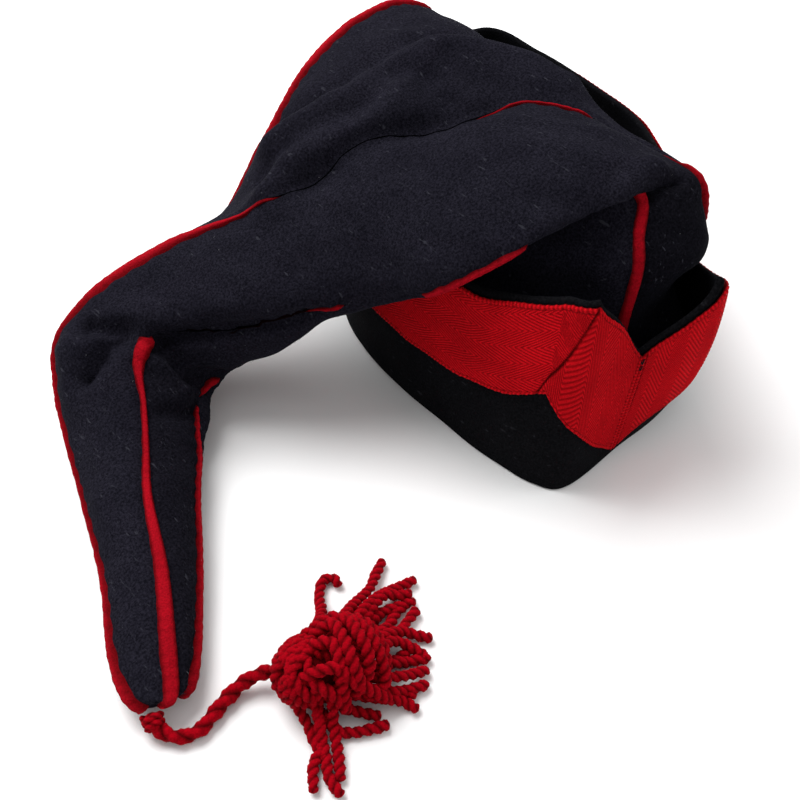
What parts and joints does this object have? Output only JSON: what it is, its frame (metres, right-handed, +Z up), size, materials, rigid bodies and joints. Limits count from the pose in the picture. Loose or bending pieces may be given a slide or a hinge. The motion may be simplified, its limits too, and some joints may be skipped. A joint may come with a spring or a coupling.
{
  "type": "stocking forage cap",
  "caption": "Stocking forage cap: turned-up dark band with a wide red tape, long folded crown of piped gores, corded tassel.",
  "frame": {"origin": "on the surface the cap lies on, under the middle of the cap's bounding box, measured without the cord and tassel", "axes": "+Z up, -Y towards the cap's front seam, +X towards the wearer's left"},
  "size_m": [0.3491, 0.2372, 0.1293],
  "materials": {
    "navy_broadcloth": "felted wool cloth",
    "band_broadcloth": "felted wool cloth, darker",
    "red_twill_tape": "herringbone wool tape",
    "red_piping_cloth": "folded wool cloth",
    "red_wool_yarn": "twisted wool yarn"
  },
  "bodies": {
    "root": {"turban": "band_broadcloth", "tape_right": "red_twill_tape", "tape_left": "red_twill_tape", "gore_front": "navy_broadcloth", "gore_under": "navy_broadcloth", "gore_back": "navy_broadcloth", "gore_top": "navy_broadcloth", "piping_top": "red_piping_cloth", "piping_front": "red_piping_cloth", "piping_under": "red_piping_cloth", "piping_back": "red_piping_cloth", "tassel_cord": "red_wool_yarn", "tassel": "red_wool_yarn"}
  },
  "joints": []
}
